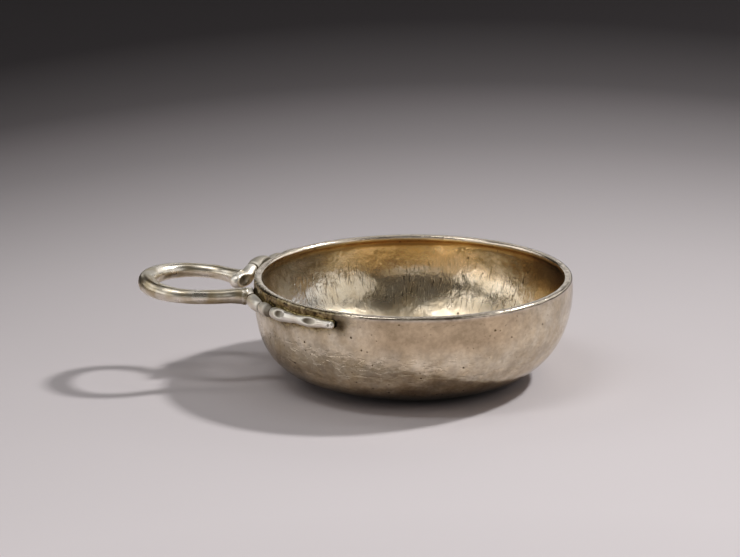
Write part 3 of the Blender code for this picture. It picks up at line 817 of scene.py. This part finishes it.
bowlFinish = {
    "silver": "#E5D9C4",
    "warm": "#DAC9AD",
    # gold and pale: painted reflection on the inner wall, the gold partly tarnish
    "gold": "#D1AE7E",
    "pale": "#DCDEE0",
    "tarnish": "#CFBA9D",
    "lip": "#DDCFBD",
    "shade": "#857A66",
    # tarnish inside, and painted shade under the lip
    "brown": "#887C68",
    # olive patina by the tails; the deep colour also paints the shadow past their tips and the shade beside
    # them
    "patina": "#A4926A",
    "deepPatinaAndShade": "#3C311B",
    "pit": "#2B2119",
    "streakWidth": 0.55,
    "streakLength": 2.8,
    "streakRadius": 38.0,      # of the wall that they climb
    "streakSlope": 0.72,       # length along the wall for each millimetre of height and radius
    "markWidth": 1.3,
    "markLength": 2.8,
    "markSlant": 0.5,
    "markTone": (0.98, 1.12),
    "pitSpacing": 1.3,
    "pitRagged": 0.4,          # how far the edge of a pit strays
    "pitWobble": 3.0,          # waves of its edge in each millimetre
    "pitRim": 0.08,
    "pits": {
        "ramps": {"growth": ("pitPick", 0.45, 1.0, 0.0, 0.27),
                  "clusters": ("patches", 0.42, 0.60, 0.45, 1.0)},
        "places": {"pitSize": (("growth", "clusters"),)},
    },
    "scratchWidth": 0.25,
    "scratchStretch": 0.12,
    "scratchTurn": (0.4, 0.9, 0.2),
    # the inside painted lighter than the outside, painted light for the light bounced round inside the bowl
    "innerTone": 1.15,
    "grimeDull": 0.1,
    # soft patterns: size, detail and roughness
    "patterns": {
        "patches": (8.0, 3.0, 0.5),
        "planish": (3.2, 2.0, 0.5),
        "grain": (0.9, 2.0, 0.5),
        "blotch": (5.0, 4.0, 0.6),
    },
    # lines: detail and distortion
    "lines": {"streakLines": (1.0, 0.5), "markLines": (2.0, 0.9)},
    # zones with soft edges: what is read, from and to, and the amount at each end
    "zones": {
        "strokes": ("streakLines", 0.54, 0.68, 0.0, 1.0),
        "beaten": ("patches", 0.38, 0.56, 0.0, 1.0),
        "streakFoot": ("height", 6.0, 10.0, 0.0, 1.0),
        "streakTop": ("height", 17.0, 23.0, 1.0, 0.0),
        "dashes": ("markLines", 0.54, 0.62, 0.0, 1.0),
        "bellyFoot": ("height", 6.5, 10.0, 0.1, 1.0),
        "bellyTop": ("height", 15.0, 19.0, 1.0, 0.1),
        "high": ("height", 12.0, 22.0, 0.0, 1.0),
        "rightward": ("sideways", -26.0, -8.0, 0.0, 1.0),
        "rightEnd": ("sideways", 25.0, 36.0, 0.0, 1.0),
        "leftward": ("sideways", -36.0, -21.0, 1.0, 0.0),
        "belowLip": ("height", 22.5, 25.0, 1.0, 0.0),
        "undercut": ("height", 21.5, 24.5, 0.0, 0.4),
        "lipTop": ("height", 25.0, 25.9, 0.0, 1.0),
        "shelf": ("height", 14.0, 20.0, 0.0, 1.0),
        "shelfLeft": ("sideways", -20.0, -4.0, 0.0, 1.0),
        "shelfRight": ("sideways", 20.0, 34.0, 1.0, 0.0),
        "lowLeft": ("sideways", -31.0, -17.0, 0.6, 0.0),
        "lowDown": ("height", 9.0, 15.0, 1.0, 0.0),
        # painted shade: the outer wall darker towards the foot
        "foot": ("height", 0.5, 7.6, 0.28, 1.0),
        "dullBase": ("height", 7.0, 12.0, 0.14, 0.0),
    },
    # even ramps, in the same way
    "ramps": {
        "scratches": ("scratchLines", 0.62, 0.7, 0.0, 1.0),
        "spread": ("patches", 0.38, 0.56, 0.55, 1.0),
        "warmth": ("blotch", 0.35, 0.65, 0.0, 1.0),
        "crust": ("blotch", 0.3, 0.7, 0.8, 1.0),
        "oliveGrain": ("grain", 0.30, 0.62, 0.0, 1.0),
        "hollows": ("worn", 0.82, 1.18, 0.80, 1.0),
        "cloud": ("patches", 0.38, 0.60, 0.87, 1.12),
        "outerGloss": ("blotch", 0.3, 0.7, 0.16, 0.24),
        "innerGloss": ("blotch", 0.3, 0.7, 0.17, 0.27),
    },
    # places: the parts in a row are multiplied, and of two rows the stronger holds
    "places": {
        "streaks": (("strokes", "beaten", "streakFoot", "streakTop", "inner"),),
        "marks": (("dashes", "bellyFoot", "bellyTop", "spread", "outer"),),
        "innerTop": (("high", "rightward", "inner"),),
        # painted reflection on the inner wall: pale grey on its upper left, and gold, partly tarnish, high on
        # its right
        "paleInside": (("leftward", "belowLip", "inner"),),
        "golden": (("innerTop", 0.75), ("rightward", "inner", 0.16)),
        # tarnish high at the right end inside, and painted shade in the band just under the lip inside
        "browned": (("rightEnd", "innerTop"), ("undercut", "inner")),
        "tarnished": (("shelf", "shelfLeft", "shelfRight", "outer"),),
        "shaded": (("lowLeft", "lowDown", "outer"),),
        # olive patina beside the tails, deep where the painted shadow and shade by the tails lie
        "grime": (("patina", "crust"),),
        "olive": (("oliveGrain", "clean"),),
        "spots": (("pits", 0.8), ("streaks", 0.45)),
    },
    # colours laid over the silver one after the other
    "layers": (("warmth", "warm"), ("paleInside", "pale"), ("golden", "gold"), ("browned", "brown"),
               ("tarnished", "tarnish"), ("lipTop", "lip"), ("shaded", "shade"), ("grime", "olive"),
               ("spots", "pit")),
    # how far each pattern stands out
    "relief": {"planish": 0.16, "grain": -0.03, "streaks": -0.03, "marks": -0.07, "pits": -0.05,
               "scratches": -0.004},
}

rodFinish = {
    "silver": "#EAE1D2",
    "warm": "#CBBB9E",
    "patina": "#3E3524",
    "blotchSize": 4.0,
    "pitSpacing": 2.4,
    "relief": {"scratches": -0.002, "pits": -0.03},
    "roughness": (0.25, 0.35),
}

castFinish = {
    # painted light: the tails' silver is whiter than the ring's and the bowl's, for the bright light they
    # catch
    "silver": "#FDF6EA",
    "warm": "#F3E9D9",
    "patina": "#4A3F2C",
    "blotchSize": 3.0,
    "pitSpacing": 1.6,
    "relief": {"scratches": -0.006, "pits": -0.03},
    "roughness": (0.38, 0.48),
}

# what the ring and the tails share, in the same tables as the bowl's finish
rubbedWear = {
    "ramps": {
        "warmth": ("blotch", 0.4, 0.65, 0.0, 1.0),
        "dark": ("recess", 0.15, 1.0, 0.0, 0.85),
        "scratches": ("scratchLines", 0.6, 0.7, 0.0, 1.0),
    },
    "places": {"grime": (("dark",), ("pits",))},
    "layers": (("warmth", "warm"), ("grime", "patina")),
    "pits": {"ramps": {"pitSize": ("pitPick", 0.9, 1.0, 0.0, 0.10)}},
    "pitRim": 0.06,
    "glossFrom": (0.3, 0.7),
    "grimeDull": 0.4,
    "scratchWidth": 0.2,
    "scratchStretch": 0.2,
    "scratchTurn": (0.7, 0.3, 0.5),
}

solderFinish = {
    "bright": "#A89A76",
    "dark": "#5A4F35",
    "rubbedBright": "#EFE7DA",
    "rubbedDark": "#A2967E",
    "grainSize": 0.7,
    "relief": {"grain": 0.06},
    "grainFrom": (0.35, 0.65),
    "roughness": (0.30, 0.50),
}


def startMetal(name):
    # a new material, and the place on the piece in millimetres
    material, add, shader = newMaterial(name)
    place = add("TexCoord", output="Object")
    return material, add, shader, add("VectorMath", {0: place, "Scale": 1 / mm}, operation="SCALE")


def addShares(add, shares, f):
    # works out the zones, ramps and places of a finish from the shares that are there
    for table, edge in (("zones", "SMOOTHSTEP"), ("ramps", "LINEAR")):
        for name, (source, start, end, first, last) in f.get(table, {}).items():
            shares[name] = add("MapRange", {"Value": shares[source], "From Min": start, "From Max": end,
                                            "To Min": first, "To Max": last}, interpolation_type=edge)
    for name, rows in f.get("places", {}).items():
        found = None
        for first, *others in rows:
            share = shares[first]
            for part in others:
                share = add("Math", {0: share, 1: shares.get(part, part)}, operation="MULTIPLY")
            found = share if found is None else add("Math", {0: found, 1: share}, operation="MAXIMUM")
        shares[name] = found


def addWear(add, shares, inMm, pitPlace, f):
    # the lines of the scratches, and pits, one in a cell at most
    stretch = f["scratchStretch"]
    drawn = add("Mapping", {"Vector": inMm, "Rotation": f["scratchTurn"],
                            "Scale": (1 / f["scratchWidth"], stretch, stretch)})
    shares["scratchLines"] = add("TexNoise", {"Vector": drawn, "Scale": 1.0, "Detail": 2.0})
    away = add("TexVoronoi", {"Vector": pitPlace, "Scale": 1 / f["pitSpacing"]})
    shares["pitPick"] = add("SeparateColor", {0: away.node.outputs["Color"]})
    addShares(add, shares, f["pits"])
    edge = add("Math", {0: shares["pitSize"], 1: away}, operation="SUBTRACT")
    shares["pits"] = add("MapRange", {"Value": edge, "From Max": f["pitRim"]})


def addLayers(add, shares, f, mixed=None):
    # the silver under its layers, of which one may be a mixed colour
    colour = linear(f["silver"])
    for place, name in f["layers"]:
        paint = linear(f[name]) if name in f else mixed
        colour = add("Mix", {0: shares[place], 6: colour, 7: paint}, output=2, data_type="RGBA")
    return colour


def finishMetal(add, shader, shares, f, colour, gloss):
    relief = 0.0
    for name, depth in f["relief"].items():
        relief = add("Math", {0: shares[name], 1: depth, 2: relief}, operation="MULTIPLY_ADD")
    bump = add("Bump", {"Height": relief, "Distance": 1 * mm, "Strength": 1.0})
    feed(shader, {"Base Color": colour, "Roughness": gloss, "Normal": bump, "Metallic": 1.0})


def raisedSilver():
    # Sheet silver raised with a hammer and worn for years: a warm, soft mirror, streaked inside by the
    # hammer, pitted outside, olive where no cloth reaches beside the handle; painted shadow past the tails'
    # tips, painted shade beside the tails, under the lip inside, low on the left and towards the foot
    # outside, and painted reflection on the inner wall, pale grey and gold, the gold partly tarnish, the
    # inside painted lighter
    f = bowlFinish
    material, add, shader, inMm = startMetal("raised and planished silver")
    axes = add("SeparateXYZ", {0: inMm}).node.outputs
    shares = {"height": axes["Z"], "sideways": axes["X"]}
    for name in ("inner", "patina", "tailShade"):
        shares[name] = add("Attribute", output="Fac", attribute_name=name)
    for name, opposite in (("outer", "inner"), ("clean", "tailShade")):
        shares[name] = add("Math", {0: 1.0, 1: shares[opposite]}, operation="SUBTRACT")
    for name, (size, detail, roughness) in f["patterns"].items():
        shares[name] = add("TexNoise", {"Vector": inMm, "Scale": 1 / size, "Detail": detail,
                                        "Roughness": roughness})
    shares["worn"] = add("Math", {0: shares["planish"], 1: shares["grain"]}, operation="ADD")

    # streaks that climb the inner wall, and slanting marks of the planishing hammer
    flat = add("VectorMath", {0: inMm, 1: (1, 1, 0)}, operation="MULTIPLY")
    radius = add("VectorMath", {0: flat}, output="Value", operation="LENGTH")
    spoke = add("VectorMath", {0: flat}, operation="NORMALIZE")
    climb = add("Math", {0: axes["Z"], 1: radius}, operation="ADD")
    climb = add("Math", {0: climb, 1: f["streakSlope"] / f["streakLength"]}, operation="MULTIPLY")
    rise = add("CombineXYZ", {"Z": climb})
    around = add("VectorMath", {0: spoke, "Scale": f["streakRadius"] / f["streakWidth"]}, operation="SCALE")
    climbing = add("VectorMath", {0: around, 1: rise}, operation="ADD")
    lengthways = 1 / f["markLength"]
    slanting = add("Mapping", {"Vector": inMm, "Rotation": (0.0, f["markSlant"], 0.0),
                               "Scale": (lengthways, lengthways, 1 / f["markWidth"])})
    for name, route in (("streakLines", climbing), ("markLines", slanting)):
        detail, distortion = f["lines"][name]
        shares[name] = add("TexNoise", {"Vector": route, "Scale": 1.0, "Detail": detail,
                                        "Distortion": distortion})

    # scratches and ragged pits
    wobble = add("TexNoise", {"Vector": inMm, "Scale": f["pitWobble"], "Detail": 1.0}, output="Color")
    ragged = add("VectorMath", {0: wobble, 1: [f["pitRagged"]] * 3, 2: inMm}, operation="MULTIPLY_ADD")
    addWear(add, shares, inMm, ragged, f)
    addShares(add, shares, f)

    olive = add("Mix", {0: shares["olive"], 6: linear(f["deepPatinaAndShade"]), 7: linear(f["patina"])}, output=2,
                data_type="RGBA")
    colour = addLayers(add, shares, f, olive)
    # tone: hammer marks, darker hollows of the hammering, painted shade towards the foot and soft clouds
    # outside; the inside is painted lighter, for the light bounced round it
    low, high = f["markTone"]
    tone = add("MapRange", {"Value": shares["marks"], "To Min": low, "To Max": high})
    for name in ("hollows", "foot", "cloud"):
        tone = add("Math", {0: tone, 1: shares[name]}, operation="MULTIPLY")
    tone = add("Mix", {0: shares["inner"], 2: tone, 3: f["innerTone"]})
    colour = add("VectorMath", {0: colour, "Scale": tone}, operation="SCALE")

    # the inner base is dulled by use, and the patina, with the painted shadow by the tails, dulls the wall
    inside = add("Math", {0: shares["innerGloss"], 1: shares["dullBase"]}, operation="ADD")
    gloss = add("Mix", {0: shares["inner"], 2: shares["outerGloss"], 3: inside})
    gloss = add("Math", {0: shares["grime"], 1: f["grimeDull"], 2: gloss}, operation="MULTIPLY_ADD")
    finishMetal(add, shader, shares, f, colour, gloss)
    return material


def rubbedSilver(name, own):
    # Silver rubbed bright by fingers, glossier on the forged ring and a white satin on the cast tails, their
    # silver painted whiter for the bright light on them; dark grime in every groove and hollow, with painted
    # shade on the knuckles' tops and slopes, deepest at the root end of each scoop, against the wall and
    # under the near arm
    f = {**rubbedWear, **own}
    material, add, shader, inMm = startMetal(name)
    shares = {
        "recess": add("Attribute", output="Fac", attribute_name="recess"),
        "blotch": add("TexNoise", {"Vector": inMm, "Scale": 1 / f["blotchSize"], "Detail": 3.0}),
    }
    addWear(add, shares, inMm, inMm, f)
    addShares(add, shares, f)
    addShares(add, shares, {"ramps": {"gloss": ("blotch", *f["glossFrom"], *f["roughness"])}})
    gloss = add("Math", {0: shares["dark"], 1: f["grimeDull"], 2: shares["gloss"]}, operation="MULTIPLY_ADD")
    finishMetal(add, shader, shares, f, addLayers(add, shares, f), gloss)
    return material


def hardSolder():
    # Silver solder that ran and froze: grainy, duller and darker than the silver beside it
    f = solderFinish
    material, add, shader, inMm = startMetal("hard silver solder")
    shares = {"grain": add("TexNoise", {"Vector": inMm, "Scale": 1 / f["grainSize"], "Detail": 3.0,
                                        "Roughness": 0.6})}
    addShares(add, shares, {"ramps": {"light": ("grain", *f["grainFrom"], 0.0, 1.0),
                                      "gloss": ("grain", *f["grainFrom"], *f["roughness"][::-1])}})
    rubbed = add("Attribute", output="Fac", attribute_name="rubbed")
    pair = []
    for low, high in (("dark", "bright"), ("rubbedDark", "rubbedBright")):
        pair.append(add("Mix", {0: shares["light"], 6: linear(f[low]), 7: linear(f[high])}, output=2,
                        data_type="RGBA"))
    colour = add("Mix", {0: rubbed, 6: pair[0], 7: pair[1]}, output=2, data_type="RGBA")
    finishMetal(add, shader, shares, f, colour, shares["gloss"])
    return material


def makeBowl(routes, finish):
    outline = bowlOutline()
    turnRadius = bowl["footRadius"]
    mesh = bpy.data.meshes.new("bowl section")
    mesh.from_pydata([(radius - turnRadius, -height, 0) for radius, height in outline],
                     [(i, i + 1) for i in range(len(outline) - 1)], [])
    obj = addObject("raisedBowl", mesh)
    runTree(obj, hammeredBowlTree(), {
        "Steps": bowl["steps"], "Turn Radius": turnRadius, "Facet Size": bowl["facetSize"],
        "Facet Depth": bowl["facetDepth"], "Dent Size": bowl["dentSize"], "Dent Depth": bowl["dentDepth"],
        "Rim Height": bowlHeight, "Seed": bowl["seed"], "Finish": finish})
    (start, comeIn), (end, goOut) = bowl["bulgeStart"], bowl["bulgeEnd"]
    for vertex in obj.data.vertices:
        co = vertex.co
        flat = Vector((co.x, co.y, 0))
        turn = math.degrees(math.atan2(-co.x, -co.y))
        share = smooth((turn - start) / comeIn) * (1 - smooth((turn - end) / goOut))
        rise = fade(co.z - bowl["bulgeHeight"], bowl["bulgeSpread"]) * smooth(co.z / bowl["bulgeFoot"])
        if flat.length > bowl["footRadius"]:
            vertex.co = co + flat.normalized() * bowl["bulge"] * share * rise
    # which side of the wall a point is on, and how close it lies to a tail
    centres = []
    for name, side in sides.items():
        for i in range(bowl["patinaPoints"]):
            along = i / (bowl["patinaPoints"] - 1)
            distance = tail["length"] * (bowl["patinaStart"] + (1 - bowl["patinaStart"]) * along)
            centres.append((tailPoint(side, routes[name], distance), tailRadius(side, distance)))
    tree = kdtree.KDTree(len(centres))
    for i, (spot, radius) in enumerate(centres):
        tree.insert(spot, i)
    tree.balance()
    # painted shadow on the wall just past the tip of each tail, and painted shade in a thin line beside each
    # tail
    tips = [tailPoint(side, routes[name], tail["length"] + bowl["tipShadowReach"]) for name, side in sides.items()]
    inner, patina, tailShade = [], [], []
    for vertex in obj.data.vertices:
        co = vertex.co
        depth = wallRadius(co.z) - math.hypot(co.x, co.y)
        inside = 0.0
        if co.z > bowl["thickness"] / 2:
            inside = smooth((depth - bowl["innerFrom"]) / bowl["innerOver"])
        spot, index, away = tree.find(co)
        near = away - centres[index][1]
        reach = bowl["patinaAbove"] if co.z > spot.z else bowl["patinaBelow"]
        beyond = min((co - tip).length for tip in tips)
        tipShadow = (1 - inside) * smooth(bowl["tipShadowFullness"] - beyond / bowl["tipShadowSize"])
        inner.append(inside)
        tailShade.append(max(tipShadow, bowl["besideShade"] * (1 - inside) * smooth(1 - near / bowl["besideShadeWidth"])))
        patina.append(max(tipShadow, (1 - inside) * smooth(1 - near / reach)))
    for name, values in (("inner", inner), ("patina", patina), ("tailShade", tailShade)):
        setAttribute(obj.data, name, values)
    return obj


sheetFinish, jointFinish = raisedSilver(), hardSolder()
ringFinish = rubbedSilver("forged and rubbed silver", rodFinish)
tailFinish = rubbedSilver("cast and filed silver", castFinish)
routes = {name: tailRoute(side) for name, side in sides.items()}
finishPiece(makeBowl(routes, sheetFinish), "bowl")
finishPiece(makeRing(routes, ringFinish), "ring_handle")
for name, side in sides.items():
    route = routes[name]
    finishPiece(makeTail(name + "Tail", side, route, tailFinish), name + "_tail")
    finishPiece(makeBed(name + "TailSolder", side, route, jointFinish), name + "_tail_solder")
    finishPiece(makeJointSolder(name + "JointSolder", side, route, jointFinish), name + "_hoop_solder")
print("pieces finished")
